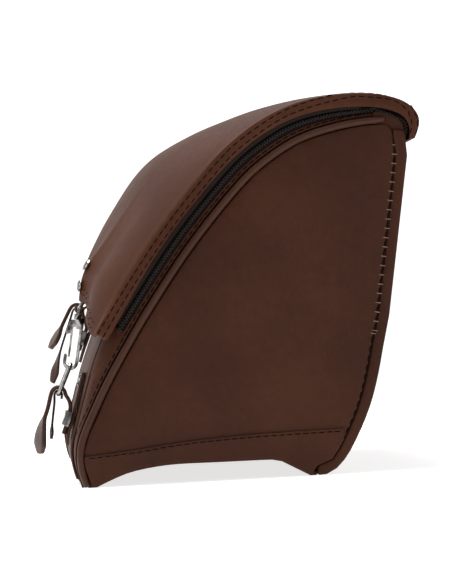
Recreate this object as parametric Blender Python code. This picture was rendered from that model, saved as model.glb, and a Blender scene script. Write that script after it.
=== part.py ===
"""Motorcycle saddlebag: a hollow leather body, a crowned zip lid and two strap sets with snap hooks.

Metres, +Z up. X runs from the front of the bag (-X) to its back panel (+X), Y runs along its length.
"""

import math

import bmesh
import bpy
import numpy as np
from mathutils import Matrix, Vector
from mathutils.bvhtree import BVHTree

for item in list(bpy.data.objects):
    bpy.data.objects.remove(item)

MM = 0.001

# Body
LENGTH = 380 * MM
DEPTH = 240 * MM
HEIGHT = 250 * MM
LEATHER = 2.4 * MM
BASE_LEATHER = 3.0 * MM
BOARD = 8.5 * MM
GAP = 0.35 * MM
ROUNDS = 29

# Front bulge
FRONT_BULGE = 38 * MM
SEAM_SHARE = 0.86
SEAM_DEPTH = 14 * MM
FRONT_EASE = 90 * MM
SEAM_LIFT = 3.4 * MM

# Edges and trims
PIPING_RADIUS = 2.6 * MM
BASE_TRIM = 1.6 * MM
BASE_TRIM_HEIGHT = 22 * MM
FOOT_FLAT = 9 * MM
BACK_FOOT_X = 161 * MM
ARCH = 12.6 * MM

# Lid
LID_GAP = 19 * MM
LID_PROUD = 2.2 * MM
LID_BAND = 9.5 * MM
LID_CROWN = 45 * MM
HEM_CROWN = 32 * MM
CROWN_EASE = 150 * MM
HEM_EASE = 18 * MM
HEM_RISE = 14 * MM
HEM_HEIGHT = 113 * MM
HEM_SLOPE = 0.229
DIMPLE = 3.0 * MM
DIMPLE_WIDTH = 26 * MM
DIMPLE_REACH = 75 * MM

# Zip
ZIP_THICK = 1.2 * MM
ZIP_FRONT_WIDTH = 12 * MM
ZIP_OVERLAP = 5 * MM
COIL_RADIUS = 1.3 * MM

# Strap sets
STRAP_INSET = 75 * MM
STRAP_DROP = 64 * MM
HEM_OUT = 3.5 * MM
STRAP_OUT = 3.5 * MM
HEM_LEVEL = 13 * MM
STRAP_WIDTH = 25 * MM
STRAP_THICK = 2.8 * MM
BASE_TAB_WIDTH = 26 * MM
LID_TAB_WIDTH = 15 * MM
PULL_TAB_WIDTH = 13 * MM
TIP_WIDTH = 9 * MM
WIRE = 1.6 * MM
FRAME_WIDTH = 35 * MM
RIVET_RADIUS = 4.8 * MM
RIVET_DOME = 1.8 * MM
LEVER_WIDTH = 4.0 * MM
CHEEK = 1.4 * MM
PIN_RADIUS = 0.9 * MM

# Places in a strap set, in millimetres out from the front and up along it.
PIVOT = (9.7, 43.5)
BIGHT = (7.7, 14.9)
HOOK_BACK = 2.1
SWIVEL = ((4.0, 46.4), (4.0, 50.4), (9.4, 50.4), (9.4, 46.4))
EYE_LOW = (7.0, 47.6)
EYE_TOP = (6.2, 54.8)
EYE_WIDTH = 22 * MM
FRAME_HIGH = (7.7, 13.65)
FRAME_LOW = (13.4, -9.0)

TAB_LIFT = 0.7 * MM
TAB_CLEAR = 3.0 * MM
LID_TAB_TWIST = 8
TAB_THICK = 1.8 * MM
BASE_TAB_TOP = LEATHER + TAB_LIFT
STRAP_TOP = BASE_TAB_TOP + STRAP_THICK + 2 * GAP
KEEPER_THICK = 1.3 * MM

# Where shells start and how finely they are divided.
STRIP_START = 2 * PIPING_RADIUS + 4 * GAP
FOOT_STATION = 0.005
FOOT_ROW = 0.025
PIPING_START = 0.004
FOOT_FOLD = 0.3 * ARCH + BASE_LEATHER
STRIP_END = 0.93
BAND_START = 0.012
BAND_ROWS = 24
TAPE_DEPTH = 4.0 * MM
ZIP_END = 0.89
LID_END = 0.98
LID_CROWDING = 0.07
LID_REAR_ROW = 0.935
LID_STEPS = (
    0,
    4 * MM,
    12 * MM,
    28 * MM,
    STRAP_INSET + LID_PROUD - 2 * HEM_LEVEL,
    STRAP_INSET + LID_PROUD - HEM_LEVEL,
    STRAP_INSET + LID_PROUD,
    STRAP_INSET + LID_PROUD + HEM_LEVEL,
    STRAP_INSET + LID_PROUD + 2 * HEM_LEVEL,
)

# The edge of an end panel from the front foot, up and over to the back: shares of DEPTH and HEIGHT.
END_EDGE = (
    (0.000, 0.000),
    (-0.020, 0.075),
    (-0.010, 0.135),
    (0.009, 0.168),
    (0.062, 0.269),
    (0.132, 0.381),
    (0.214, 0.500),
    (0.347, 0.672),
    (0.502, 0.836),
    (0.587, 0.898),
    (0.671, 0.942),
    (0.795, 0.972),
    (0.900, 0.982),
    (0.951, 0.974),
    (0.967, 0.944),
    (0.965, 0.904),
)

# Outer face of the back panel from its top to the back foot: shares of DEPTH and HEIGHT. Its flat
# face starts below the lid's rear edge.
BACK_TOP = (0.973, 0.960)
BACK_FACE_TOP = (0.977, 0.888)
BACK_FACE_LOW = (0.899, 0.440)
BACK_CURL = (
    (0.877, 0.355),
    (0.859, 0.282),
    (0.837, 0.210),
    (0.808, 0.143),
    (0.766, 0.069),
    (0.727, 0.022),
    (0.690, 0.002),
)

# Along the end edge: how far up the edge, the bulge of the front as a share of FRONT_BULGE, the
# space between edge and lid as a share of LID_GAP, and the lid's crown as a share of LID_CROWN.
EDGE_ROWS = (
    # at, front, lid_gap, crown
    (0.00, 0.06, 1.00, 1.04),
    (0.012, 0.21, 1.00, 1.04),
    (0.05, 0.215, 1.00, 1.04),
    (0.10, 0.275, 1.00, 1.04),
    (0.16, 0.39, 1.00, 1.04),
    (0.23, 0.55, 1.00, 1.04),
    (0.30, 0.68, 1.00, 1.04),
    (0.35, 0.79, 1.00, 1.18),
    (0.41, 0.87, 1.00, 1.02),
    (0.49, 0.90, 1.00, 1.00),
    (0.56, 0.90, 1.00, 1.04),
    (0.61, 0.90, 1.00, 0.98),
    (0.65, 1.00, 1.00, 0.83),
    (0.70, 1.00, 1.00, 0.63),
    (0.75, 1.00, 0.98, 0.50),
    (0.79, 1.00, 0.94, 0.41),
    (0.85, 1.00, 0.82, 0.37),
    (0.92, 1.00, 0.60, 0.42),
    (0.96, 1.00, 0.40, 0.30),
    (0.975, 1.00, 0.22, 0.10),
    (1.00, 1.00, 0.18, 0.05),
)
STATION, FRONT_SHARE, GAP_SHARE, CROWN_SHARE = np.array(EDGE_ROWS).T

# Shares of the gap between the piping and the lid's edge, from the piping outwards.
BODY_BAND = (0.00, 0.26)
TAPE_BAND = (0.28, 0.74)
SKIRT_BAND = (0.76, 9.0)
TUCK_SHARE = 0.45

# Colours, roughness and metallic value of each material.
FINISHES = {
    "leather": ((0.085, 0.040, 0.028), 0.50, 0.0),
    "lid_leather": ((0.110, 0.062, 0.047), 0.45, 0.0),
    "zip_tape": ((0.012, 0.010, 0.010), 0.85, 0.0),
    "zip_coil": ((0.030, 0.027, 0.026), 0.40, 0.2),
    "chrome": ((0.78, 0.77, 0.75), 0.12, 1.0),
}


def material(name):
    """The Principled material of one finish, made once."""
    found = bpy.data.materials.get(name)
    if found:
        return found
    colour, roughness, metallic = FINISHES[name]
    found = bpy.data.materials.new(name)
    found.use_nodes = True
    shader = found.node_tree.nodes["Principled BSDF"]
    shader.inputs["Base Color"].default_value = (*colour, 1)
    shader.inputs["Roughness"].default_value = roughness
    shader.inputs["Metallic"].default_value = metallic
    return found


def keep(name, data, finish):
    """Adds an object of this mesh or curve to the scene, with its finish."""
    data.materials.append(material(finish))
    piece = bpy.data.objects.new(name, data)
    bpy.context.scene.collection.objects.link(piece)
    return piece


def mesh_piece(name, shape, finish):
    """Turns a bmesh into an object with its faces pointing outwards."""
    bmesh.ops.recalc_face_normals(shape, faces=shape.faces)
    data = bpy.data.meshes.new(name)
    shape.to_mesh(data)
    shape.free()
    data.shade_smooth()
    data.set_sharp_from_angle(angle=math.radians(40))
    return keep(name, data, finish)


def smooth_line(points, count):
    """Points evenly spaced along a Catmull-Rom curve through the given ones."""
    points = np.array(points, float)
    padded = np.vstack((2 * points[0] - points[1], points, 2 * points[-1] - points[-2]))
    part = np.linspace(0, 1, 12, endpoint=False)[:, None]
    dense = []
    for a, b, c, d in zip(padded, padded[1:], padded[2:], padded[3:]):
        dense.append(
            b
            + 0.5 * part * (c - a)
            + part**2 * (a - 2.5 * b + 2 * c - 0.5 * d)
            + part**3 * (-0.5 * a + 1.5 * b - 1.5 * c + 0.5 * d)
        )
    dense = np.vstack((*dense, points[-1:]))
    return evenly(dense, count)


def evenly(line, count):
    """The same line with this many points, evenly spaced."""
    run = np.concatenate(([0], np.cumsum(np.linalg.norm(np.diff(line, axis=0), axis=1))))
    wanted = np.linspace(0, run[-1], count)
    return np.stack([np.interp(wanted, run, column) for column in line.T], axis=-1)


def outward(line):
    """Unit normals on the left of a line in X and Z."""
    along = np.gradient(line, axis=0)
    along /= np.linalg.norm(along, axis=1, keepdims=True)
    return np.stack((-along[:, 1], along[:, 0]), axis=-1)


def shell(name, grid, thickness, finish):
    """A closed wall whose outer face is this grid of points, rows by columns."""
    grid = np.array(grid, float)
    across = np.gradient(grid, axis=0)
    along = np.gradient(grid, axis=1)
    normal = np.cross(across, along)
    normal /= np.maximum(np.linalg.norm(normal, axis=2, keepdims=True), 1e-12)
    return walls(name, grid, grid - normal * thickness, finish)


def walls(name, outer, inner, finish):
    """Two matching grids of points, joined round their borders into one closed solid."""
    rows, columns = outer.shape[:2]
    shape = bmesh.new()
    out = [[shape.verts.new(point) for point in row] for row in outer]
    back = [[shape.verts.new(point) for point in row] for row in inner]
    for i in range(rows - 1):
        for j in range(columns - 1):
            shape.faces.new((out[i][j], out[i + 1][j], out[i + 1][j + 1], out[i][j + 1]))
            shape.faces.new((back[i][j + 1], back[i + 1][j + 1], back[i + 1][j], back[i][j]))
    ring = [(0, j) for j in range(columns - 1)]
    ring += [(i, columns - 1) for i in range(rows - 1)]
    ring += [(rows - 1, j) for j in range(columns - 1, 0, -1)]
    ring += [(i, 0) for i in range(rows - 1, 0, -1)]
    for (a, b), (c, d) in zip(ring, ring[1:] + ring[:1]):
        shape.faces.new((out[a][b], out[c][d], back[c][d], back[a][b]))
    return mesh_piece(name, shape, finish)


def plate(name, outline, low, high, finish):
    """A flat piece with this outline in X and Z, between two places along Y."""
    shape = bmesh.new()
    face = shape.faces.new([shape.verts.new((x, low, z)) for x, z in outline])
    grown = bmesh.ops.extrude_face_region(shape, geom=[face])
    moved = [item for item in grown["geom"] if isinstance(item, bmesh.types.BMVert)]
    bmesh.ops.translate(shape, verts=moved, vec=(0, high - low, 0))
    return mesh_piece(name, shape, finish)


def rod(name, path, radius, finish, closed=False, sides=2):
    """A round rod along a path, with filled ends or closed on itself."""
    data = bpy.data.curves.new(name, "CURVE")
    data.dimensions = "3D"
    data.bevel_depth = radius
    data.bevel_resolution = sides
    data.use_fill_caps = not closed
    spline = data.splines.new("POLY")
    spline.points.add(len(path) - 1)
    for point, place in zip(spline.points, path):
        point.co = (*place, 1)
    spline.use_cyclic_u = closed
    return keep(name, data, finish)


def at(values, station, size):
    """One column of EDGE_ROWS at a station of the end edge, times the size it is a share of."""
    return np.interp(station, STATION, values) * size


edge = smooth_line([(x * DEPTH, z * HEIGHT) for x, z in END_EDGE], 400)
edge_out = outward(edge)
stations = np.linspace(0, 1, len(edge))


def edge_point(station, off):
    """The point this far outside the end edge, in X and Z."""
    base = [np.interp(station, stations, column) for column in edge.T]
    out = [np.interp(station, stations, column) for column in edge_out.T]
    return base[0] + out[0] * off, base[1] + out[1] * off


def from_end(y):
    """Distance from the nearer end of the bag."""
    return LENGTH / 2 - abs(y)


def hem_height(y):
    """Height of the lid's hem, which slopes along the bag and runs level behind each strap."""
    strap = math.copysign(LENGTH / 2 - STRAP_INSET, y)
    beside = min(max(abs(y - strap) - HEM_LEVEL, 0) * 2, abs(y - strap))
    return HEM_HEIGHT + HEM_SLOPE * (strap + math.copysign(beside, y - strap) + LENGTH / 2)


def station_at_height(height, off_at):
    """The station whose point, off_at(station) outside the end edge, has this height."""
    low, high = 0.0, 0.8
    for _ in range(30):
        middle = (low + high) / 2
        if edge_point(middle, off_at(middle))[1] < height:
            low = middle
        else:
            high = middle
    return (low + high) / 2


def body_off(station, inset):
    """How far the front stands outside the end edge, this far in from an end."""
    bulge = at(FRONT_SHARE, station, FRONT_BULGE)
    turn = min(max(inset, 0) / SEAM_DEPTH, 1)
    ease = min(max(inset - SEAM_DEPTH, 0) / FRONT_EASE, 1)
    rise = SEAM_SHARE * bulge - STRIP_START
    corner = STRIP_START + rise * (math.sqrt(1 - (1 - turn) ** 2) if rise > 0 else turn)
    return corner + (1 - SEAM_SHARE) * bulge * math.sin(ease * math.pi / 2)


def gap_off(station):
    """How far the lid's edge stands outside the end edge."""
    return at(GAP_SHARE, station, LID_GAP)


def lid_off(station, y):
    """How far the lid stands outside the end edge at a place along the bag."""
    inset = from_end(y)
    crown = at(CROWN_SHARE, station, LID_CROWN)
    band = min(LID_BAND, crown)
    hem = min(HEM_CROWN, crown)
    ease = math.sin(min(max(inset, 0) / CROWN_EASE, 1) * math.pi / 2) ** 0.8
    above = max(edge_point(station, gap_off(station))[1] - hem_height(y) + HEM_RISE, 0)
    lift = 1 - math.exp(-above / HEM_EASE)
    rise = band + (hem - band) * ease + (crown - hem) * ease * lift
    pull = math.exp(-(((inset - STRAP_INSET) / DIMPLE_WIDTH) ** 2 + (above / DIMPLE_REACH) ** 2))
    return gap_off(station) + rise - DIMPLE * pull


def hem_station(y):
    """Where the lid's hem crosses the end edge's stations at a place along the bag."""
    return station_at_height(hem_height(y), lambda station: lid_off(station, y))


def side_strip(end, name):
    """Gusset strip from the piping to the front panel's seam, and above the hem up to the zip."""
    face = end * (LENGTH / 2 - SEAM_LIFT)
    turn = station_at_height(hem_height(face), gap_off)
    rows = []
    for station in np.linspace(FOOT_STATION, STRIP_END, ROUNDS):
        blend = min(max((station - turn + 0.07) / 0.05, 0), 1)
        narrow = STRIP_START + BODY_BAND[1] * (gap_off(station) - STRIP_START)
        narrow = max(narrow, STRIP_START + 1.2 * MM)
        row = []
        for part in np.linspace(0, 1, 5):
            inset = (1 - math.cos(part * math.pi / 2)) * SEAM_DEPTH
            wide = body_off(station, inset)
            off = wide * (1 - blend) + (STRIP_START + (narrow - STRIP_START) * part) * blend
            depth = inset * (1 - blend) + part * MM * blend
            x, z = edge_point(station, off)
            row.append((x, face - end * depth, z))
        rows.append(row[:: -end])
    return shell(name, rows, LEATHER, "leather")


def front_columns():
    """Places along the bag at which the front's pieces are divided, denser near the ends."""
    start = SEAM_LIFT + SEAM_DEPTH + 2 * GAP
    steps = [start, start + 7 * MM, start + 18 * MM]
    steps += [STRAP_INSET + share * HEM_LEVEL for share in (-2, -1, 1, 2)]
    half = np.array(steps) - LENGTH / 2
    return np.concatenate((half, (-0.13 * LENGTH, 0, 0.13 * LENGTH), -half[::-1]))


def front_panel():
    """The front of the body, from the feet up to the zip under the lid's hem."""
    columns = front_columns()
    grid = []
    for share in np.insert(np.linspace(0, 1, 14), 1, FOOT_ROW):
        row = []
        for y in columns:
            inset = from_end(y) - SEAM_LIFT
            top = station_at_height(
                hem_height(y) + ZIP_OVERLAP, lambda station: body_off(station, inset)
            )
            station = FOOT_STATION + (top - FOOT_STATION) * share
            x, z = edge_point(station, body_off(station, inset))
            row.append((x, y, z))
        grid.append(row)
    return shell("front_panel", grid, LEATHER, "leather")


def lid():
    """The crowned lid: its hem hangs over the front, its side bands face the two ends."""
    steps = np.array(LID_STEPS)
    face = LENGTH / 2 + LID_PROUD
    half = np.concatenate((-face + steps, [-0.11 * LENGTH]))
    columns = np.concatenate((half, [0], -half[::-1]))
    low = {y: hem_station(y) for y in columns}
    grid = []
    for part in np.insert(np.linspace(0, 1, 24), 22, LID_REAR_ROW):
        share = part - LID_CROWDING * math.sin(2 * math.pi * part)
        row = []
        for y in columns:
            station = low[y] + (LID_END - low[y]) * share
            row.append((*edge_point(station, lid_off(station, y)), y))
        first = low[columns[0]] + (LID_END - low[columns[0]]) * share
        last = low[columns[-1]] + (LID_END - low[columns[-1]]) * share
        row.insert(0, (*edge_point(first, gap_off(first)), columns[0]))
        row.append((*edge_point(last, gap_off(last)), columns[-1]))
        grid.append([(x, y, z) for x, z, y in row])
    return shell("lid", grid, LEATHER, "lid_leather")


def end_panel(end, name):
    """Flat leather end of the body, from the piping's inner edge to the whip-stitched back edge."""
    outline = [edge_point(station, -GAP) for station in np.linspace(PIPING_START, STRIP_END, ROUNDS)]
    outline += board_edge()
    outline += [(x, z + GAP) for x, z in arch_line()[::-1]]
    face = end * LENGTH / 2
    low, high = sorted((face, face - end * LEATHER))
    return plate(name, outline, low, high, "leather")


def base_trim(end, name):
    """Strip of leather stitched over the foot of an end panel."""
    arch = arch_line()
    front = np.interp(BASE_TRIM_HEIGHT, edge[:40, 1], edge[:40, 0])
    foot = [edge_point(station, -GAP) for station in np.linspace(PIPING_START, 0.052, 6)]
    back = [(x, z) for x, z in board_edge() if z < 31 * MM]
    upper = smooth_line(
        (
            (front + 1 * MM, BASE_TRIM_HEIGHT),
            (0.12 * DEPTH, 1.12 * BASE_TRIM_HEIGHT),
            (0.27 * DEPTH, 1.30 * BASE_TRIM_HEIGHT),
            (0.47 * DEPTH, 1.42 * BASE_TRIM_HEIGHT),
            (back[0][0], 1.46 * BASE_TRIM_HEIGHT),
        ),
        14,
    )
    outline = foot + [tuple(point) for point in upper] + back
    outline += [(x, z + GAP) for x, z in arch[::-1]]
    face = end * (LENGTH / 2 + GAP)
    low, high = sorted((face, face + end * BASE_TRIM))
    return plate(name, outline, low, high, "leather")


def arch_line():
    """Underside of the bag from the front foot's flat, over the arch, to the back foot's flat."""
    front, back = FOOT_FLAT * 0.4, BACK_FOOT_X - FOOT_FLAT * 0.75
    shares = (
        (0.00, 0.00),
        (0.07, 0.36),
        (0.15, 0.70),
        (0.25, 0.92),
        (0.38, 1.04),
        (0.60, 1.02),
        (0.80, 1.00),
        (0.86, 0.92),
        (0.92, 0.55),
        (1.00, 0.00),
    )
    line = smooth_line([(front + x * (back - front), z * ARCH) for x, z in shares], 22)
    return [(max(x, front), max(z, 0)) for x, z in line]


def back_line():
    """Outer face of the back panel, from its flat top down to the back foot."""
    low = (BACK_FACE_LOW[0] * DEPTH, BACK_FACE_LOW[1] * HEIGHT)
    curl = [(x * DEPTH, z * HEIGHT) for x, z in BACK_CURL]
    upper = [(x * DEPTH, z * HEIGHT) for x, z in (BACK_TOP, BACK_FACE_TOP)]
    return upper + [tuple(point) for point in smooth_line([low] + curl, 16)]


def board_inner():
    """Inner face of the back panel from its top down to the fold over the back foot."""
    inner = [(x - BOARD, z + 0.12 * BOARD) for x, z in back_line()]
    inner = [point for point in inner if point[1] > FOOT_FOLD]
    return inner + [(BACK_FOOT_X - FOOT_FLAT * 0.2, FOOT_FOLD)]


def board_edge():
    """Where an end panel stops in front of the back panel."""
    return [(x - 1.5 * GAP, z) for x, z in board_inner()]


def back_panel():
    """Stiff board wrapped in leather: flat against the motorcycle, curled under at its foot."""
    inner = board_inner()
    outline = back_line() + [(inner[-1][0], 0.0)] + inner[::-1]
    half = LENGTH / 2 + BASE_TRIM
    return plate("back_panel", outline, -half, half, "leather")


def bottom_panel():
    """Arched leather bottom on two straight feet, inside the two end panels."""
    arch = arch_line()
    start = edge_point(0.018, -GAP)
    line = [(start[0], start[1]), (-0.3 * FOOT_FLAT, 0), *arch]
    line += [(BACK_FOOT_X - FOOT_FLAT * 0.2 - GAP, 0)]
    out = outward(np.array(line))
    inner = [(x + nx * BASE_LEATHER, z + nz * BASE_LEATHER) for (x, z), (nx, nz) in zip(line, out)]
    half = LENGTH / 2 - LEATHER - GAP
    return plate("bottom_panel", line + inner[::-1], -half, half, "leather")


def piping(end, name):
    """Corded welt round an end panel."""
    y = end * (LENGTH / 2 - 0.5 * MM)
    path = []
    for station in np.linspace(PIPING_START, STRIP_END, ROUNDS):
        x, z = edge_point(station, PIPING_RADIUS + GAP)
        path.append((x, y, z))
    return rod(name, path, PIPING_RADIUS, "leather", sides=1)


def end_band(end, name, band, depth, thickness, finish):
    """A flat band along an end of the lid's opening, between two shares of the gap."""
    face = end * (LENGTH / 2 - depth)
    first = station_at_height(hem_height(face), gap_off) + BAND_START
    grid = []
    for station in np.linspace(first, ZIP_END, BAND_ROWS):
        gap = gap_off(station) - STRIP_START
        tuck = TUCK_SHARE * min(LID_BAND, at(CROWN_SHARE, station, LID_CROWN))
        row = []
        for share in band:
            x, z = edge_point(station, STRIP_START + min(share * gap, gap + tuck))
            row.append((x, face, z))
        grid.append(row[:: -end])
    return shell(name, grid, thickness, finish)


def zip_coil(end, name):
    """Closed teeth of the zip along an end."""
    face = end * (LENGTH / 2 - TAPE_DEPTH + COIL_RADIUS + GAP)
    first = station_at_height(hem_height(face), gap_off) + BAND_START
    path = []
    for station in np.linspace(first, ZIP_END, BAND_ROWS):
        gap = gap_off(station) - STRIP_START
        x, z = edge_point(station, STRIP_START + sum(TAPE_BAND) / 2 * gap)
        path.append((x, face, z))
    return rod(name, path, COIL_RADIUS, "zip_coil", sides=1)


def front_zip(name, lift, thickness, share, finish):
    """The zip's stretch across the front, hidden under the lid's hem."""
    grid = []
    for part in share:
        row = []
        for y in front_columns():
            inset = from_end(y) - SEAM_LIFT
            height = hem_height(y) + ZIP_OVERLAP + 3 * GAP + part * ZIP_FRONT_WIDTH
            station = station_at_height(height, lambda station: body_off(station, inset))
            x, z = edge_point(station, body_off(station, inset) + lift)
            row.append((x, y, z))
        grid.append(row)
    return shell(name, grid, thickness, finish)


class StrapFrame:
    """Place and lean of one strap set on the front: out from the panel, and up along it."""

    def __init__(self, y):
        self.y = y
        hem = self.panel_point(hem_height(y))
        below = self.panel_point(hem_height(y) - STRAP_DROP)
        self.low = hem.y - STRAP_DROP * (hem - below).normalized().y
        self.base = self.panel_point(self.low, STRAP_OUT)
        station = hem_station(y)
        along = Vector((*edge_point(station, lid_off(station, y)), 0)) - self.base
        away = Vector((-along.y, along.x, 0)).normalized()
        self.up = (along - away * HEM_OUT).normalized()
        self.out = Vector((-self.up.y, self.up.x, 0))

    def panel_point(self, height, lift=0.0):
        """The point of the front at this height, lifted off it, as X and Z in a vector."""
        inset = from_end(self.y) - SEAM_LIFT
        station = station_at_height(height, lambda station: body_off(station, inset))
        return Vector((*edge_point(station, body_off(station, inset) + lift), 0))

    def place(self, out, up, side=0.0):
        """World place of a point given in millimetres out from and up along the panel."""
        point = self.base + self.out * out * MM + self.up * up * MM
        return (point.x, self.y + side, point.y)

    def on_body(self, up, lift):
        """World place on the panel itself, this far up along it and lifted off it."""
        point = self.panel_point(self.low + up * MM, lift)
        return (point.x, self.y, point.y)

    def facing(self, up):
        """Direction that the panel faces at this place up along it."""
        along = Vector(self.on_body(up + 2, 0)) - Vector(self.on_body(up - 2, 0))
        return Vector((-along.z, 0, along.x)).normalized()


def ribbon(name, frame, path, widths, twists, thickness):
    """A strap along a path of places, with its width and its twist in degrees at each of them."""
    middle = smooth_line(path, 3 * len(path))
    run = np.linspace(0, 1, len(middle))
    known = np.linspace(0, 1, len(path))
    wide = np.interp(run, known, widths)
    turn = np.radians(np.interp(run, known, twists))
    grid = []
    for place, width, angle in zip(middle, wide, turn):
        side = Vector((frame.out.x * math.sin(angle), math.cos(angle), frame.out.y * math.sin(angle)))
        grid.append([Vector(place) + side * width * share for share in (-0.5, 0.5)])
    return shell(name, grid, thickness, "leather")


def rivet(name, place, out):
    """A domed rivet cap seated on leather, facing along out."""
    shape = bmesh.new()
    bmesh.ops.create_uvsphere(shape, u_segments=12, v_segments=6, radius=RIVET_RADIUS)
    under = [vert for vert in shape.verts if vert.co.z < -1e-6]
    bmesh.ops.delete(shape, geom=under, context="VERTS")
    bmesh.ops.holes_fill(shape, edges=shape.edges)
    flat = Matrix.Diagonal((1, 1, RIVET_DOME / RIVET_RADIUS, 1))
    turn = Vector((0, 0, 1)).rotation_difference(Vector(out)).to_matrix().to_4x4()
    bmesh.ops.transform(shape, matrix=Matrix.Translation(place) @ turn @ flat, verts=shape.verts)
    return mesh_piece(name, shape, "chrome")


def lid_seat(seat, station, y):
    """A place on the lid's outer face and the direction it faces."""
    x, z = edge_point(station, lid_off(station, y))
    place, normal = seat.find_nearest(Vector((x, y, z)))[:2]
    return place, normal


def fuse(piece, others):
    """Joins helper solids to a piece with Boolean unions."""
    for other in others:
        other.hide_render = True
        other.display_type = "WIRE"
        union = piece.modifiers.new("join " + other.name, "BOOLEAN")
        union.operation = "UNION"
        union.solver = "EXACT"
        union.object = other
    return piece


def cross_plate(name, frame, outline, half_width, middle=0.0):
    """A plate whose outline is given out from and up along the panel, this wide along Y."""
    shape = bmesh.new()
    points = [frame.place(out, up, middle - half_width) for out, up in outline]
    face = shape.faces.new([shape.verts.new(point) for point in points])
    grown = bmesh.ops.extrude_face_region(shape, geom=[face])
    moved = [item for item in grown["geom"] if isinstance(item, bmesh.types.BMVert)]
    bmesh.ops.translate(shape, verts=moved, vec=(0, 2 * half_width, 0))
    return mesh_piece(name, shape, "chrome")


def circle(out, up, radius, count, start=0.0, sweep=360.0):
    """Points of an arc out from and up along the panel, in millimetres."""
    angles = [math.radians(start + sweep * step / count) for step in range(count + (sweep < 360))]
    return [(out + radius * math.cos(angle), up + radius * math.sin(angle)) for angle in angles]


def loop(name, frame, low, high, width, radius):
    """A rectangular wire loop between two places, with rounded corners, along Y and the panel."""
    low, high = Vector(low), Vector(high)
    lean = (high - low).normalized()
    corner = 3.2
    half = width / 2
    path = []
    for side, end, first in ((1, high, 0), (-1, high, 90), (-1, low, 180), (1, low, 270)):
        inward = -lean if end is high else lean
        for step in range(4):
            angle = math.radians(first + 30 * step)
            across = side * (half - corner * MM) + corner * MM * math.cos(angle)
            along = end + inward * corner + lean * corner * math.sin(angle)
            path.append(frame.place(along.x, along.y, across))
    return rod(name, path, radius, "chrome", closed=True, sides=1)


def solid_copy(name, piece):
    """The evaluated shape of a curve object as a mesh object, in its place."""
    graph = bpy.context.evaluated_depsgraph_get()
    data = bpy.data.meshes.new_from_object(piece.evaluated_get(graph))
    data.name = name
    curve = piece.data
    bpy.data.objects.remove(piece)
    bpy.data.curves.remove(curve)
    shape = bmesh.new()
    shape.from_mesh(data)
    bpy.data.meshes.remove(data)
    bmesh.ops.remove_doubles(shape, verts=shape.verts, dist=1e-6)
    return mesh_piece(name, shape, "chrome")


def snap_hook(name, frame):
    """Swivel snap hook: a wire eye, a barrel, a J-shaped body, two cheeks and the lever's pin."""
    inner, outer = 3.2, 5.6
    body = [(HOOK_BACK, 47.9), (HOOK_BACK, BIGHT[1])]
    body += circle(*BIGHT, outer, 8, 180, 180)[1:]
    body += [(BIGHT[0] + outer, 20.0), (BIGHT[0] + outer - 1.0, 21.2), (BIGHT[0] + inner, 20.0)]
    body += circle(*BIGHT, inner, 8, 360, -180)[:]
    body += [(BIGHT[0] - inner, 40.6), (BIGHT[0] - inner, 47.9)]
    hook = cross_plate(name, frame, body, 2.0 * MM)
    cheek_out = PIVOT[0] + 1.9
    front = PIVOT[0] - 2.75
    block = [(HOOK_BACK - 0.3, 39.5), (front, 39.5), (front, 47.3), (HOOK_BACK - 0.3, 47.3)]
    cheek = [(HOOK_BACK + 0.4, 40.1), (cheek_out, 41.2), (cheek_out, 45.9), (HOOK_BACK + 0.4, 46.9)]
    wide = LEVER_WIDTH / 2 + GAP
    barrel = cross_plate(name + "_barrel", frame, SWIVEL, 3.0 * MM)
    others = [cross_plate(name + "_block", frame, block, wide + CHEEK * 0.45), barrel]
    for side in (-1, 1):
        others.append(
            cross_plate(f"{name}_cheek{side}", frame, cheek, CHEEK / 2, side * (wide + CHEEK / 2))
        )
    pin = circle(*PIVOT, PIN_RADIUS / MM, 10)
    others.append(cross_plate(name + "_pin", frame, pin, wide + CHEEK * 0.6))
    eye = loop(name + "_wire", frame, EYE_LOW, EYE_TOP, EYE_WIDTH, WIRE)
    others.append(solid_copy(name + "_eye", eye))
    return fuse(hook, others)


def hook_lever(name, frame):
    """Spring lever of a snap hook: a round hub, an arm that closes the mouth, and a thumb tab.

    Its origin is on the pin it turns on.
    """
    hub = PIN_RADIUS / MM + GAP / MM + 1.1
    outline = circle(*PIVOT, hub, 12, 20, 230)
    outline += [(PIVOT[0] - 0.9, 19.2), (PIVOT[0] + 0.6, 18.6)]
    outline += [(PIVOT[0] + 0.7, 36.0), (PIVOT[0] + 3.2, 35.2), (PIVOT[0] + 4.4, 36.6)]
    lever = cross_plate(name, frame, outline, LEVER_WIDTH / 2)
    hole = circle(*PIVOT, PIN_RADIUS / MM + GAP / MM, 12)
    cutter = cross_plate(name + "_hole", frame, hole, LEVER_WIDTH)
    cutter.hide_render = True
    cutter.display_type = "WIRE"
    cut = lever.modifiers.new("pin hole", "BOOLEAN")
    cut.operation = "DIFFERENCE"
    cut.solver = "EXACT"
    cut.object = cutter
    pivot = Vector(frame.place(*PIVOT))
    lever.data.transform(Matrix.Translation(-pivot))
    lever.location = pivot
    return lever


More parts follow.
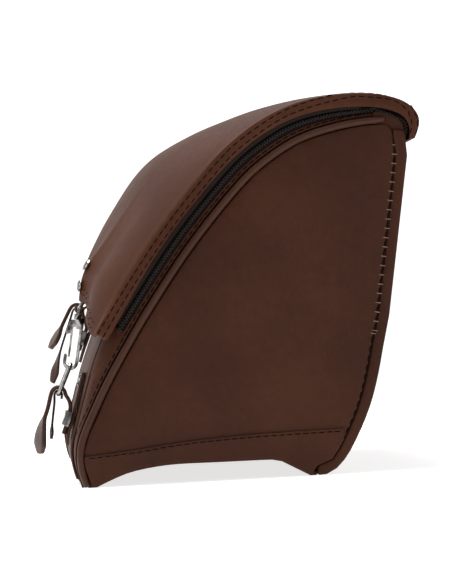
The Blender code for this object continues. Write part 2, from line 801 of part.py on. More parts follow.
def lid_tab(name, frame):
    """Leather tab under the lid, riveted through it and folded round the eye of the hook."""
    path = []
    for rise in (34, 22, 10, 1):
        height = hem_height(frame.y) + rise * MM
        station = station_at_height(height, lambda station: lid_off(station, frame.y))
        x, z = edge_point(station, lid_off(station, frame.y) - LEATHER - TAB_CLEAR - TAB_THICK)
        path.append((x, frame.y, z))
    ring = WIRE / MM + TAB_THICK / MM + 2 * GAP / MM
    path.append(frame.place(EYE_TOP[0] - ring, EYE_TOP[1] + 0.5))
    for out, up in circle(*EYE_TOP, ring, 4, 225, 90):
        path.append(frame.place(out, up))
    path.append(frame.place(EYE_TOP[0] + ring, EYE_TOP[1] + 1.5))
    turn = -math.copysign(LID_TAB_TWIST, frame.y)
    count = len(path)
    twists = [turn] * 4 + [turn / 2] + [0] * (count - 5)
    return ribbon(name, frame, path, [LID_TAB_WIDTH] * count, twists, TAB_THICK)


def base_tab(name, frame):
    """Leather tab riveted to the front, with a pointed lower end."""
    steps = (-43, -38, -32, -27, -20, -9, 0, 9)
    path = [frame.on_body(up, BASE_TAB_TOP) for up in steps]
    widths = [0.23 * BASE_TAB_WIDTH, 0.7 * BASE_TAB_WIDTH] + [BASE_TAB_WIDTH] * 6
    return ribbon(name, frame, path, widths, [0] * 8, LEATHER)


def body_strap(name, frame, tongue, widths, twists):
    """Strap from the base tab, up behind the buckle frame, over its lower bar and down to its tip."""
    path = [frame.on_body(up, STRAP_TOP) for up in (-35, -27, -20)]
    path.append(frame.on_body(-17, STRAP_TOP + GAP))
    path += [frame.place(*point) for point in ((6.4, -13.0), (9.45, -9.5), (10.6, -6.3))]
    path += [frame.place(*point) for point in ((13.4, -5.1), (16.2, -6.3), (17.3, -9.5))]
    path += [frame.place(*point) for point in tongue]
    lead = len(path) - len(tongue)
    return ribbon(
        name, frame, path, [STRAP_WIDTH] * lead + widths, [0] * lead + twists, STRAP_THICK
    )


def pull_tab(name, frame, tail, twists):
    """Short leather tab looped round the lower bar of the buckle frame."""
    loop_points = ((11.6, -12.0), (11.4, -9.3), (11.95, -7.6), (13.4, -7.0), (14.85, -7.6), (15.4, -9.5))
    path = [frame.place(*point) for point in loop_points + tuple(tail)]
    widths = [PULL_TAB_WIDTH] * (len(path) - 1) + [PULL_TAB_WIDTH / 2]
    return ribbon(name, frame, path, widths, [0] * 6 + twists, 1.6 * MM)


def keeper(name, frame):
    """Chrome keeper that holds the strap down on its base tab."""
    rise = STRAP_TOP + 2 * GAP
    foot = BASE_TAB_TOP + GAP
    half = STRAP_WIDTH / 2 + 0.9 * MM
    corners = ((-half, foot), (-half, rise), (0, rise), (half, rise), (half, foot))
    grid = []
    for side, lift in corners:
        row = []
        for up in (-30.0, -25.0, -20.0):
            x, y, z = frame.on_body(up, lift)
            row.append((x, y + side, z))
        grid.append(row)
    return shell(name, grid, KEEPER_THICK, "chrome")


for end, label in ((-1, "near"), (1, "far")):
    end_panel(end, "end_panel_" + label)
    base_trim(end, "base_trim_" + label)
    side_strip(end, "side_strip_" + label)
    piping(end, "piping_" + label)
    end_band(end, "zip_tape_" + label, TAPE_BAND, TAPE_DEPTH, ZIP_THICK, "zip_tape")
    end_band(end, "zip_skirt_" + label, SKIRT_BAND, 1.2 * MM, 1.2 * MM, "lid_leather")
    zip_coil(end, "zip_coil_" + label)
back_panel()
bottom_panel()
front_panel()
front_zip("zip_tape_front", 0.0, ZIP_THICK, (0, 0.5, 1), "zip_tape")
cover = lid()
corners = [vert.co for vert in cover.data.vertices]
seat = BVHTree.FromPolygons(corners, [face.vertices for face in cover.data.polygons])

NEAR_TONGUE = ((18.4, -21), (20.4, -32), (20.8, -43), (19.2, -53.5))
FAR_TONGUE = ((17.6, -20), (17.8, -33), (18.8, -46))
for y, label in ((-LENGTH / 2 + STRAP_INSET, "near"), (LENGTH / 2 - STRAP_INSET, "far")):
    frame = StrapFrame(y)
    near = label == "near"
    lid_tab("lid_tab_" + label, frame)
    snap_hook("snap_hook_" + label, frame)
    hook_lever("hook_lever_" + label, frame)
    loop("buckle_frame_" + label, frame, FRAME_LOW, FRAME_HIGH, FRAME_WIDTH, WIRE)
    base_tab("base_tab_" + label, frame)
    keeper("keeper_" + label, frame)
    if near:
        widths = [STRAP_WIDTH] * 3 + [TIP_WIDTH]
        body_strap("body_strap_near", frame, NEAR_TONGUE, widths, [8, 14, 16, 16])
        pull_tab("pull_tab_near", frame, ((14.6, -16), (14.2, -30), (13.4, -42)), [0, 8, 8])
    else:
        widths = [STRAP_WIDTH] * 2 + [TIP_WIDTH]
        body_strap("body_strap_far", frame, FAR_TONGUE, widths, [8, 10, 10])
        pull_tab("pull_tab_far", frame, ((14.2, -18), (11.0, -44), (6.5, -70)), [10, 28, 28])
    rivet("base_rivet_" + label, frame.on_body(3, BASE_TAB_TOP + GAP), frame.facing(3))
    for rise, mark in ((11, "low"), (26, "high")):
        height = hem_height(y) + rise * MM
        station = station_at_height(height, lambda station: lid_off(station, y))
        place, normal = lid_seat(seat, station, y)
        rivet(f"lid_rivet_{mark}_{label}", place + normal * 2.5 * GAP, normal)

# Everything hangs on one empty, moved so that the bag stands over the origin.
saddlebag = bpy.data.objects.new("saddlebag", None)
graph = bpy.context.evaluated_depsgraph_get()
spread = []
for piece in list(bpy.context.scene.collection.objects):
    piece.parent = saddlebag
    if piece.type == "MESH" and not piece.hide_render:
        shown = piece.evaluated_get(graph)
        spread += [(shown.matrix_world @ Vector(corner)).x for corner in shown.bound_box]
bpy.context.scene.collection.objects.link(saddlebag)
saddlebag.location.x = -(min(spread) + max(spread)) / 2
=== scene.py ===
"""Studio scene of a brown leather motorcycle saddlebag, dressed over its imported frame.

Metres and +Z up, as in the frame: the near end of the bag looks along -Y, its front along -X.
"""

import math

import bmesh
import bpy
import numpy as np
from mathutils import Matrix, Vector, noise
from mathutils.bvhtree import BVHTree
from mathutils.kdtree import KDTree


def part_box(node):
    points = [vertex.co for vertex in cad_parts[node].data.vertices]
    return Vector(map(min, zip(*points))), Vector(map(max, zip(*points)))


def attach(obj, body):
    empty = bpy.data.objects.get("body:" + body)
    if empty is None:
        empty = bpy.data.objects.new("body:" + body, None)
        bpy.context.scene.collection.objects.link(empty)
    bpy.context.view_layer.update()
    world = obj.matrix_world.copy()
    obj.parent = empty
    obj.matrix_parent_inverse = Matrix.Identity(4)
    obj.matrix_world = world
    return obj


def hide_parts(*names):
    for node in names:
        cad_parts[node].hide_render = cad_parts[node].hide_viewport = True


MM = 0.001

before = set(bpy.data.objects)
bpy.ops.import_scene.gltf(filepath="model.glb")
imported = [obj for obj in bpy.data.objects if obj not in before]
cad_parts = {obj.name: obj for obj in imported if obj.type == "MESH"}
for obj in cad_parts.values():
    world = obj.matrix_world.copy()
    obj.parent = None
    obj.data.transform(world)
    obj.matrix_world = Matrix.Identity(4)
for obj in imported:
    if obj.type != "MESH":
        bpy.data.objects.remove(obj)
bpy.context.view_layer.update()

# Camera: a long lens looks along the bag at its near end, turned a little so that the front
# and its straps just show. Its place follows from where the near front foot and the vanishing
# point of the bag's length lie in the photograph.
PHOTO_SIZE = (452, 584)
FOCAL_PIXELS = 2800
FOOT_DISTANCE = 1.96
FOOT_PIXEL = (92, 488)
VANISHING_PIXEL = (30, 338)
CAMERA_ROLL = math.radians(3.02)
FOOT_INSET = 2.7 * MM
SENSOR_WIDTH = 36
NEAR_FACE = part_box("end_panel_near")[0][1]
near_foot = Vector((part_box("bottom_panel")[0][0] + FOOT_INSET, NEAR_FACE, 0))


def seen(pixel):
    """Direction of a pixel of the photograph, in camera space, one metre deep."""
    across = (pixel[0] - PHOTO_SIZE[0] / 2) / FOCAL_PIXELS
    down = (pixel[1] - PHOTO_SIZE[1] / 2) / FOCAL_PIXELS
    return Vector((across, -down, -1))


depth_axis = seen(VANISHING_PIXEL).normalized()
level_axis = Vector((math.cos(CAMERA_ROLL), math.sin(CAMERA_ROLL), 0))
level_axis = (level_axis - depth_axis * level_axis.dot(depth_axis)).normalized()
up_axis = level_axis.cross(depth_axis)
turn = Matrix((level_axis, depth_axis, up_axis)).transposed()
offset = seen(FOOT_PIXEL) * FOOT_DISTANCE - turn @ near_foot
camera_data = bpy.data.cameras.new("camera")
camera_data.sensor_fit = "HORIZONTAL"
camera_data.sensor_width = SENSOR_WIDTH
camera_data.lens = SENSOR_WIDTH * FOCAL_PIXELS / PHOTO_SIZE[0]
camera_data.clip_start = 0.05
camera = bpy.data.objects.new("camera", camera_data)
bpy.context.scene.collection.objects.link(camera)
camera.matrix_world = (Matrix.Translation(offset) @ turn.to_4x4()).inverted()
bpy.context.scene.camera = camera


# Studio: a pale seamless sweep under and behind the bag, a large soft light overhead, a
# broad one on the front's side and a weak one by the camera.
SWEEP_SIZE = 34.0
SWEEP_BACK = 11.0
SWEEP_RADIUS = 1.0
PAPER_GREY = 0.70
PAPER_GLOW = 0.74
SKY_LIGHT = 0.32
LAMPS = (
    # name, place, target, size, power
    ("overhead", (-0.35, 0.1, 1.6), (0.0, 0.0, 0.2), 1.1, 34),
    ("front_side", (-1.9, -0.6, 0.9), (-0.05, 0.0, 0.15), 1.0, 6),
    ("camera_side", (1.1, -2.1, 0.8), (0.05, -0.2, 0.1), 1.2, 6),
)
bpy.ops.mesh.primitive_grid_add(x_subdivisions=8, y_subdivisions=560, size=1)
sweep = bpy.context.object
sweep.name = "sweep"
for vertex in sweep.data.vertices:
    run = (vertex.co.y + 0.5) * SWEEP_SIZE - SWEEP_SIZE / 2
    past = run - (SWEEP_BACK - SWEEP_RADIUS)
    angle = min(max(past, 0) / SWEEP_RADIUS, math.pi / 2)
    rest = max(past - SWEEP_RADIUS * math.pi / 2, 0)
    vertex.co = (
        vertex.co.x * SWEEP_SIZE,
        min(run, SWEEP_BACK - SWEEP_RADIUS) + SWEEP_RADIUS * math.sin(angle),
        SWEEP_RADIUS * (1 - math.cos(angle)) + rest,
    )
sweep.data.shade_smooth()
paper = bpy.data.materials.new("paper")
paper.use_nodes = True
paper_shader = paper.node_tree.nodes["Principled BSDF"]
paper_shader.inputs["Base Color"].default_value = (PAPER_GREY, PAPER_GREY, PAPER_GREY, 1)
paper_shader.inputs["Roughness"].default_value = 1.0
paper_shader.inputs["Specular IOR Level"].default_value = 0.0
paper_shader.inputs["Emission Color"].default_value = (1, 1, 1, 1)
paper_shader.inputs["Emission Strength"].default_value = PAPER_GLOW
sweep.data.materials.append(paper)
for name, place, target, size, power in LAMPS:
    data = bpy.data.lights.new(name, "AREA")
    data.size = size
    data.energy = power
    lamp = bpy.data.objects.new(name, data)
    bpy.context.scene.collection.objects.link(lamp)
    lamp.location = place
    lamp.rotation_euler = (Vector(target) - Vector(place)).to_track_quat("-Z", "Y").to_euler()
world = bpy.data.worlds.new("studio")
world.use_nodes = True
world.node_tree.nodes["Background"].inputs["Color"].default_value = (1, 1, 1, 1)
world.node_tree.nodes["Background"].inputs["Strength"].default_value = SKY_LIGHT
bpy.context.scene.world = world
bpy.context.scene.view_settings.view_transform = "Standard"


class Shade:
    """A shader socket that takes part in ordinary arithmetic."""

    def __init__(self, finish, socket):
        self.finish = finish
        self.socket = socket

    def math(self, operation, first, second=None):
        return self.finish.node("Math", {"operation": operation}, {0: first, 1: second})

    def __add__(self, other):
        return self.math("ADD", self, other)

    def __sub__(self, other):
        return self.math("SUBTRACT", self, other)

    def __rsub__(self, other):
        return self.math("SUBTRACT", other, self)

    def __mul__(self, other):
        return self.math("MULTIPLY", self, other)

    __radd__ = __add__
    __rmul__ = __mul__

    def clamped(self, low, high):
        """0 below low and 1 above high, with an even slope between them."""
        sockets = {"Value": self, "From Min": low, "From Max": high}
        return self.finish.node("MapRange", {"clamp": True}, sockets, "Result")


class Finish:
    """One material: its node tree, its nodes made by one method, and its shader's values."""

    def __init__(self, name, **values):
        self.material = bpy.data.materials.new(name)
        self.material.use_nodes = True
        self.nodes = self.material.node_tree.nodes
        self.links = self.material.node_tree.links
        self.shader = self.nodes["Principled BSDF"]
        for socket, value in values.items():
            self.feed(self.shader.inputs[socket.replace("_", " ")], value)

    def feed(self, socket, value):
        """Links a shade to a socket, or sets the socket to a number or a colour."""
        if isinstance(value, Shade):
            self.links.new(value.socket, socket)
        elif value is not None:
            if isinstance(value, tuple) and socket.type == "RGBA":
                value = (*value[:3], 1)
            socket.default_value = value

    def node(self, kind, settings=None, sockets=None, output=0):
        """Adds a node of this type, with its settings, then the values or links of its sockets."""
        made = self.nodes.new("ShaderNode" + kind)
        for key, value in (settings or {}).items():
            if key == "stops":
                for element, (place, colour) in zip(made.color_ramp.elements, value):
                    element.position, element.color = place, (*colour, 1)
            else:
                setattr(made, key, value)
        for key, value in (sockets or {}).items():
            self.feed(made.inputs[key], value)
        return Shade(self, made.outputs[output])

    def mix(self, share, first, second):
        """Blends two colours by a share."""
        sockets = {0: share, 6: first, 7: second}
        return self.node("Mix", {"data_type": "RGBA"}, sockets, 2)

    def noise(self, scale, detail=3.0, place=None, rough=0.5):
        sockets = {"Scale": scale, "Detail": detail, "Roughness": rough}
        sockets["Vector"] = place or self.place()
        return self.node("TexNoise", {}, sockets, "Fac")

    def place(self):
        return self.node("TexCoord", {}, {}, "Object")

    def bump(self, height, depth, strength=1.0, under=None):
        """Raises a height of 0 to 1 by this depth in metres."""
        sockets = {"Height": height, "Distance": depth, "Strength": strength, "Normal": under}
        return self.node("Bump", {}, sockets, "Normal")

    def set(self, socket, value):
        self.feed(self.shader.inputs[socket], value)


def leather(name, dark, light, rough, grain=0.09 * MM, shine=0.15):
    """Oiled leather: fine pebbled grain, cloudy colour, uneven gloss, and edges painted paler as rubbed
    wear and painted highlight.
    """
    finish = Finish(name)
    place = finish.place()
    cloud = finish.noise(14, 4, place).clamped(0.3, 0.7)
    mottle = finish.noise(160, 3, place).clamped(0.25, 0.75)
    cell_sockets = {"Scale": 950, "Vector": place}
    cells = finish.node("TexVoronoi", {"feature": "DISTANCE_TO_EDGE"}, cell_sockets)
    pores = finish.noise(2600, 2, place)
    creases = finish.noise(70, 6, place, 0.62)
    tone = cloud * 0.65 + mottle * 0.35
    base = finish.mix(tone, dark, light)
    # Near cut edges the colour is painted paler: rubbed wear, and a painted highlight on the rounded
    # edges.
    worn_and_lit = finish.node("Attribute", {"attribute_name": "wear_and_highlight"}, {}, "Fac") * (mottle * 0.5 + 0.5)
    base = finish.mix(worn_and_lit * 0.55, base, tuple(1.9 * c + 0.016 for c in light))
    valley = 1 - cells.clamped(0.0, 0.16)
    finish.set("Base Color", finish.mix(valley * 0.25, base, tuple(0.55 * c for c in dark)))
    finish.set("Roughness", mottle * 0.10 + (rough - 0.05) + valley * 0.08)
    height = (1 - valley) * 0.55 + pores * 0.25 + creases * 0.9
    finish.set("Normal", finish.bump(height, grain, 0.8))
    finish.shader.inputs["Specular IOR Level"].default_value = shine
    return finish


body_leather = leather("body_leather", (0.032, 0.0088, 0.0031), (0.066, 0.0205, 0.0088), 0.55)


# End panels: flat pieces of the body's leather, a little domed over what is packed inside,
# with their rim sewn to the piping and their foot under a stitched trim.
DOME = 3.2 * MM
DOME_REACH = 42 * MM
DOME_FOOT = 12 * MM
DOME_RISE = 60 * MM
DOME_FOOT_SHARE = 0.35
HOLLOW = 0.35 * MM
CELL = 6 * MM
CUT_ROUND = 0.6 * MM
TRIM_ROUND = 0.5 * MM
CUT_ANGLE = math.radians(50)


def only(piece):
    """Makes this the one selected and active object."""
    bpy.ops.object.select_all(action="DESELECT")
    piece.select_set(True)
    bpy.context.view_layer.objects.active = piece


def apply_all(piece):
    """Applies every modifier of a piece."""
    only(piece)
    for modifier in list(piece.modifiers):
        bpy.ops.object.modifier_apply(modifier=modifier.name)


def modify(piece, kind, **settings):
    modifier = piece.modifiers.new(kind.lower(), kind)
    for key, value in settings.items():
        setattr(modifier, key, value)
    return modifier


def copy_of(node, name, square=True):
    """A copy of a frame node's mesh as one welded surface, in quads where they fit."""
    piece = bpy.data.objects.new(name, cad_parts[node].data.copy())
    bpy.context.scene.collection.objects.link(piece)
    piece.data.materials.clear()
    only(piece)
    bpy.ops.object.mode_set(mode="EDIT")
    bpy.ops.mesh.select_all(action="SELECT")
    bpy.ops.mesh.remove_doubles(threshold=0.01 * MM)
    if square:
        limit = math.radians(45)
        bpy.ops.mesh.tris_convert_to_quads(face_threshold=limit, shape_threshold=math.radians(60))
    else:
        bpy.ops.mesh.dissolve_limited(angle_limit=math.radians(0.4))
    bpy.ops.mesh.normals_make_consistent(inside=False)
    bpy.ops.object.mode_set(mode="OBJECT")
    return piece


def crease_edges(piece, angle, value):
    """Creases the edges sharper than this angle, so that subdivision keeps them."""
    shape = bmesh.new()
    shape.from_mesh(piece.data)
    layer = shape.edges.layers.float.get("crease_edge") or shape.edges.layers.float.new("crease_edge")
    for edge in shape.edges:
        if len(edge.link_faces) == 2 and edge.calc_face_angle(0) > angle:
            edge[layer] = value
    shape.to_mesh(piece.data)
    shape.free()


def dress(piece, finish, body="bag", nodes=(), smooth=40):
    """Gives a piece its material, its body and the frame nodes it stands for."""
    piece.data.materials.clear()
    piece.data.materials.append(finish.material)
    only(piece)
    if smooth:
        bpy.ops.object.shade_smooth_by_angle(angle=math.radians(smooth))
    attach(piece, body)
    if nodes:
        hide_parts(*nodes)


def dense(points, step):
    """Points about a step apart along a smooth curve through the given ones."""
    points = np.array(points, float)
    padded = np.vstack((2 * points[0] - points[1], points, 2 * points[-1] - points[-2]))
    part = np.linspace(0, 1, 10, endpoint=False)[:, None]
    curve = []
    for a, b, c, d in zip(padded, padded[1:], padded[2:], padded[3:]):
        rest = (a - 2.5 * b + 2 * c - 0.5 * d) * part**2
        curve.append(b + 0.5 * part * (c - a) + rest + (1.5 * b - 0.5 * a - 1.5 * c + 0.5 * d) * part**3)
    curve = np.vstack((*curve, points[-1:]))
    run = np.concatenate(([0], np.cumsum(np.linalg.norm(np.diff(curve, axis=0), axis=1))))
    wanted = np.linspace(0, run[-1], max(int(round(run[-1] / step)), 2) + 1)
    return np.stack([np.interp(wanted, run, column) for column in curve.T], axis=-1)


def panel_outline(node, face):
    """Outline of a flat panel in X and Z, turning from its lowest point clockwise."""
    points = np.array([v.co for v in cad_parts[node].data.vertices])
    points = points[np.abs(points[:, 1] - face) < 0.2 * MM][:, (0, 2)]
    points = np.unique(points.round(6), axis=0)
    middle = (points.min(0) + points.max(0)) / 2
    angle = np.degrees(np.arctan2(*(points - middle).T[::-1]))
    return points[np.argsort((-angle - 90) % 360)]


class Rim:
    """The curved edge of an end panel, from the front foot over the top to the back."""

    def __init__(self, outline):
        first = np.argmin(outline[:, 0] + 2 * outline[:, 1])
        last = np.argmax(outline[:, 0] + outline[:, 1])
        self.line = dense(outline[first : last + 1], 1.0 * MM)
        along = np.gradient(self.line, axis=0)
        along /= np.linalg.norm(along, axis=1, keepdims=True)
        self.out = np.stack((-along[:, 1], along[:, 0]), axis=-1)
        self.length = len(self.line) - 1

    def at(self, run, off):
        """The point this many millimetres along the rim and this far outside it."""
        places = np.arange(len(self.line))
        base = [np.interp(run, places, column) for column in self.line.T]
        out = [np.interp(run, places, column) for column in self.out.T]
        return base[0] + out[0] * off, base[1] + out[1] * off

    def measure(self, x, z):
        """How far along the rim a point is, and how far outside it."""
        gaps = self.line - np.array((x, z))
        near = int(np.argmin((gaps**2).sum(1)))
        return near, float(-(gaps[near] * self.out[near]).sum())


rim = Rim(panel_outline("end_panel_near", NEAR_FACE))


def dome(x, z):
    """How far the end panel swells at a place, from nothing at its rim."""
    inside = -rim.measure(x, z)[1]
    share = min(max(inside, 0) / DOME_REACH, 1)
    rise = math.sin(min(max(z - DOME_FOOT, 0) / DOME_RISE, 1) * math.pi / 2)
    return DOME * math.sin(share * math.pi / 2) * (DOME_FOOT_SHARE + (1 - DOME_FOOT_SHARE) * rise)


def slice_up(piece, step):
    """Cuts a flat piece into cells of this size, so that it can be shaped."""
    points = np.array([v.co for v in piece.data.vertices])
    low, high = points.min(0), points.max(0)
    shape = bmesh.new()
    shape.from_mesh(piece.data)
    for axis in (0, 2):
        normal = Vector((axis == 0, 0, axis == 2))
        for place in np.arange(low[axis] + step / 2, high[axis], step):
            geometry = shape.verts[:] + shape.edges[:] + shape.faces[:]
            bmesh.ops.bisect_plane(
                shape, geom=geometry, dist=0.01 * MM, plane_co=normal * place, plane_no=normal
            )
    shape.to_mesh(piece.data)
    shape.free()


def swell(piece, end):
    """Moves a sliced end piece outwards by the dome, with faint hollows of its own."""
    for vertex in piece.data.vertices:
        x, y, z = vertex.co
        lift = dome(x, z)
        lift += HOLLOW * noise.noise(Vector((x * 22, end * 3.1, z * 22))) * min(lift / DOME, 1)
        vertex.co.y = y + end * lift


for end, label in ((-1, "near"), (1, "far")):
    panel = copy_of("end_panel_" + label, "end_leather_" + label, square=False)
    modify(panel, "BEVEL", width=CUT_ROUND, segments=2, angle_limit=CUT_ANGLE)
    apply_all(panel)
    slice_up(panel, CELL)
    swell(panel, end)
    dress(panel, body_leather, nodes=["end_panel_" + label])

    trim = copy_of("base_trim_" + label, "base_trim_leather_" + label, square=False)
    modify(trim, "BEVEL", width=TRIM_ROUND, segments=2, angle_limit=CUT_ANGLE)
    apply_all(trim)
    slice_up(trim, CELL)
    swell(trim, end)
    dress(trim, body_leather, nodes=["base_trim_" + label])


# Back panel and bottom: the back is a stiff board wrapped in leather, so its edges are rounder,
# and the bottom is one arched piece of leather between the ends.
WRAP_ROUND = 1.6 * MM
for node, width in (("back_panel", WRAP_ROUND), ("bottom_panel", CUT_ROUND)):
    wrap = copy_of(node, node + "_leather", square=False)
    modify(wrap, "BEVEL", width=width, segments=3, angle_limit=CUT_ANGLE)
    apply_all(wrap)
    dress(wrap, body_leather, nodes=[node])


# Soft leather shells: the gusset strips and the front, subdivided from the frame's coarse walls
# with only their cut edges kept crisp.
WEAR_AND_HIGHLIGHT_REACH = 1.3 * MM
CUT_EDGE = 0.45


def soft_copy(node, name, levels=2, crease=0.7, sharp=70):
    """A subdivided copy with its cut edges kept crisp, which notes how near each point is to them."""
    piece = copy_of(node, name)
    crease_edges(piece, math.radians(sharp), crease)
    modify(piece, "SUBSURF", levels=levels, render_levels=levels)
    apply_all(piece)
    shape = bmesh.new()
    shape.from_mesh(piece.data)
    folds = [edge for edge in shape.edges if len(edge.link_faces) == 2]
    cuts = [edge for edge in folds if edge.calc_face_angle(0) > CUT_EDGE]
    tree = KDTree(3 * len(cuts))
    for edge in cuts:
        for share in (0, 0.5, 1):
            tree.insert(edge.verts[0].co.lerp(edge.verts[1].co, share), 0)
    tree.balance()
    gaps = [tree.find(vert.co)[2] or 1 for vert in shape.verts] if cuts else []
    # How near each point is to a cut edge, for the paler edges of rubbed wear and painted highlight.
    wear_and_highlight = [math.exp(-(gap / WEAR_AND_HIGHLIGHT_REACH)) for gap in gaps] or [0] * len(shape.verts)
    shape.free()
    piece.data.attributes.new("wear_and_highlight", "FLOAT", "POINT").data.foreach_set("value", wear_and_highlight)
    return piece


for label in ("near", "far"):
    gusset = soft_copy("side_strip_" + label, "gusset_" + label)
    dress(gusset, body_leather, nodes=["side_strip_" + label])
dress(soft_copy("front_panel", "front_leather"), body_leather, nodes=["front_panel"])


# Lid: the crowned shell with its turned edge. A ridge runs up from each strap, where the pull of
# the strap folds the leather, and the leather sinks a little beside it.
RIDGE = 4.5 * MM
RIDGE_WIDTH = 10 * MM
RIDGE_REACH = 60 * MM
RIDGE_BACK = 40 * MM
SINK_AT = 24 * MM
SINK_WIDTH = 12 * MM
EAR_DROP = 8.5 * MM
EAR_FORWARD = 1.5 * MM
EAR_WIDTH = 52 * MM
EAR_HEIGHT = 46 * MM
EAR_LEAST = 6 * MM
EAR_ROUND = 9 * MM
STRAP_PLACES = [(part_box("snap_hook_" + label)[0][1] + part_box("snap_hook_" + label)[1][1]) / 2
                for label in ("near", "far")]
HEMS = [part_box("lid_tab_" + label)[0][2] for label in ("near", "far")]
LID_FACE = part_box("lid")[1][1]
LID_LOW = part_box("lid")[0][2]


def fold(x, y, z):
    """How far the lid's leather moves at a place: ridges over the straps and drooping corners."""
    move = Vector((0, 0, 0))
    if x > RIDGE_BACK:
        return move
    for place, hem in zip(STRAP_PLACES, HEMS):
        fade = math.exp(-((max(z - hem, 0) / RIDGE_REACH) ** 2))
        across = abs(y - place)
        beside = math.exp(-(((across - SINK_AT) / SINK_WIDTH) ** 2))
        lift = RIDGE * math.exp(-across / RIDGE_WIDTH) - 0.5 * RIDGE * beside
        move += Vector((-0.85, 0, 0.5)) * lift * fade
    from_face = LID_FACE - abs(y)
    if from_face < EAR_WIDTH and x < 0:
        rise = min(max(from_face / EAR_ROUND, 0.0), 1)
        fall = 0.5 + 0.5 * math.cos(math.pi * min(from_face / EAR_WIDTH, 1))
        low = min(max(1 - (z - LID_LOW - EAR_LEAST) / EAR_HEIGHT, 0), 1)
        share = (0.45 + 0.55 * math.sin(rise * math.pi / 2)) * fall * low * low * (3 - 2 * low)
        move += Vector((-EAR_FORWARD, 0, -EAR_DROP)) * share
    return move


def fold_lid(piece):
    """Moves every point of a piece with the lid's leather."""
    for vertex in piece.data.vertices:
        vertex.co += fold(*vertex.co)


# Painted light: the lid's leather is made lighter than the body's, standing in for the overhead lamp's
# light on the crown.
LID_DARK, LID_LIGHT = (0.043, 0.0125, 0.0050), (0.076, 0.0250, 0.0115)
lid_leather = leather("lid_leather", LID_DARK, LID_LIGHT, 0.52, shine=0.10)
lid = soft_copy("lid", "lid_shell")
fold_lid(lid)
dress(lid, lid_leather, nodes=["lid"])


# Piping: a cord covered with a strip of smooth leather, sewn into the seam round each end. It
# takes the most rubbing, so it shines a little more than the rest.
WELT_GROWTH = 0.43 * MM


def round_copy(node, name, grow):
    """A smooth round rod from a coarse one, grown back to its size."""
    piece = copy_of(node, name)
    modify(piece, "SUBSURF", levels=2, render_levels=2)
    modify(piece, "DISPLACE", strength=grow, mid_level=0.0)
    apply_all(piece)
    return piece


WELT_DARK, WELT_LIGHT = (0.040, 0.0118, 0.0046), (0.064, 0.0205, 0.0088)
welt_leather = leather("welt_leather", WELT_DARK, WELT_LIGHT, 0.42, shine=0.22)
for label in ("near", "far"):
    welt = round_copy("piping_" + label, "welt_" + label, WELT_GROWTH)
    dress(welt, welt_leather, nodes=["piping_" + label])


# Lining: the turned margin behind the piping and the zip, which closes the rim all round
# each end. It is one thin band of leather a little way inside the end's face, near black as painted
# shade.
LINING_DEPTH = 7 * MM
LINING_THICK = 0.8 * MM
LINING_UNDER = 4 * MM
LINING_OUT = 21 * MM
LINING_IN_STRIP = 4.2 * MM
LINING_LEAST = 5 * MM
LINING_CORNER = 12 * MM
LINING_WIDENS = (-4, 12)
RIM_STEP = 3
BAND_POINTS = 5
FAN_STEPS = 8
FAN_LEAST = 0.5 * MM
FAN_TURN = math.radians(95)
END_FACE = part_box("end_panel_far")[1][1]
# Painted shade: a near-black leather for the hollow rim and the lid's skirt, which lie in shadow.
painted_shade_leather = leather("painted_shade_leather", (0.010, 0.0055, 0.0042), (0.018, 0.0095, 0.0070), 0.80)


def span_along(node):
    """How far outside the rim a node begins and ends, at each millimetre along the rim."""
    points = np.array([v.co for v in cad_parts[node].data.vertices])[:, (0, 2)]
    points = np.unique(points.round(5), axis=0)
    measured = np.array([rim.measure(*point) for point in points])
    runs = np.arange(rim.length + 1)
    low, high = np.full(len(runs), np.nan), np.full(len(runs), np.nan)
    for run in runs:
        near = measured[np.abs(measured[:, 0] - run) < 9][:, 1]
        if len(near):
            low[run], high[run] = near.min(), near.max()
    known = ~np.isnan(low)
    return runs[known], low[known], high[known]


def rim_fan(off, turn):
    """A point past the rim's end, turned this far round the panel's top back corner."""
    corner = rim.line[-1]
    start = math.atan2(rim.out[-1][1], rim.out[-1][0])
    angle = start - turn
    return corner[0] + off * math.cos(angle), corner[1] + off * math.sin(angle)


def skin(name, rows):
    """An open skin through rows of points, all with as many points."""
    shape = bmesh.new()
    grid = [[shape.verts.new(point) for point in row] for row in rows]
    for low_row, high_row in zip(grid, grid[1:]):
        for a, b, c, d in zip(low_row, low_row[1:], high_row[1:], high_row):
            shape.faces.new((a, b, c, d))
    data = bpy.data.meshes.new(name)
    shape.to_mesh(data)
    shape.free()
    piece = bpy.data.objects.new(name, data)
    bpy.context.scene.collection.objects.link(piece)
    return piece


zip_starts = {}
for end, label in ((-1, "near"), (1, "far")):
    strip_runs, _, strip_high = span_along("side_strip_" + label)
    zip_starts[label] = int(span_along("zip_tape_" + label)[0][0])
    rows = []
    for run in range(2, rim.length + 1, RIM_STEP):
        wide = np.interp(run, strip_runs, strip_high) - LINING_IN_STRIP
        share = min(max((run - zip_starts[label] - LINING_WIDENS[0]) / LINING_WIDENS[1], 0), 1)
        wide = max(wide, LINING_LEAST) * (1 - share) + LINING_OUT * share
        rows.append([rim.at(run, off) for off in np.linspace(-LINING_UNDER, wide, BAND_POINTS)])
    for turn in np.linspace(0, FAN_TURN, FAN_STEPS)[1:]:
        offs = np.linspace(0, LINING_CORNER, BAND_POINTS)
        rows.append([rim_fan(max(off, FAN_LEAST), turn) for off in offs])
    face = end * (END_FACE - LINING_DEPTH)
    lining = skin("lining_" + label, [[(x, face, z) for x, z in row] for row in rows])
    modify(lining, "SOLIDIFY", thickness=LINING_THICK, offset=0)
    apply_all(lining)
    dress(lining, painted_shade_leather)


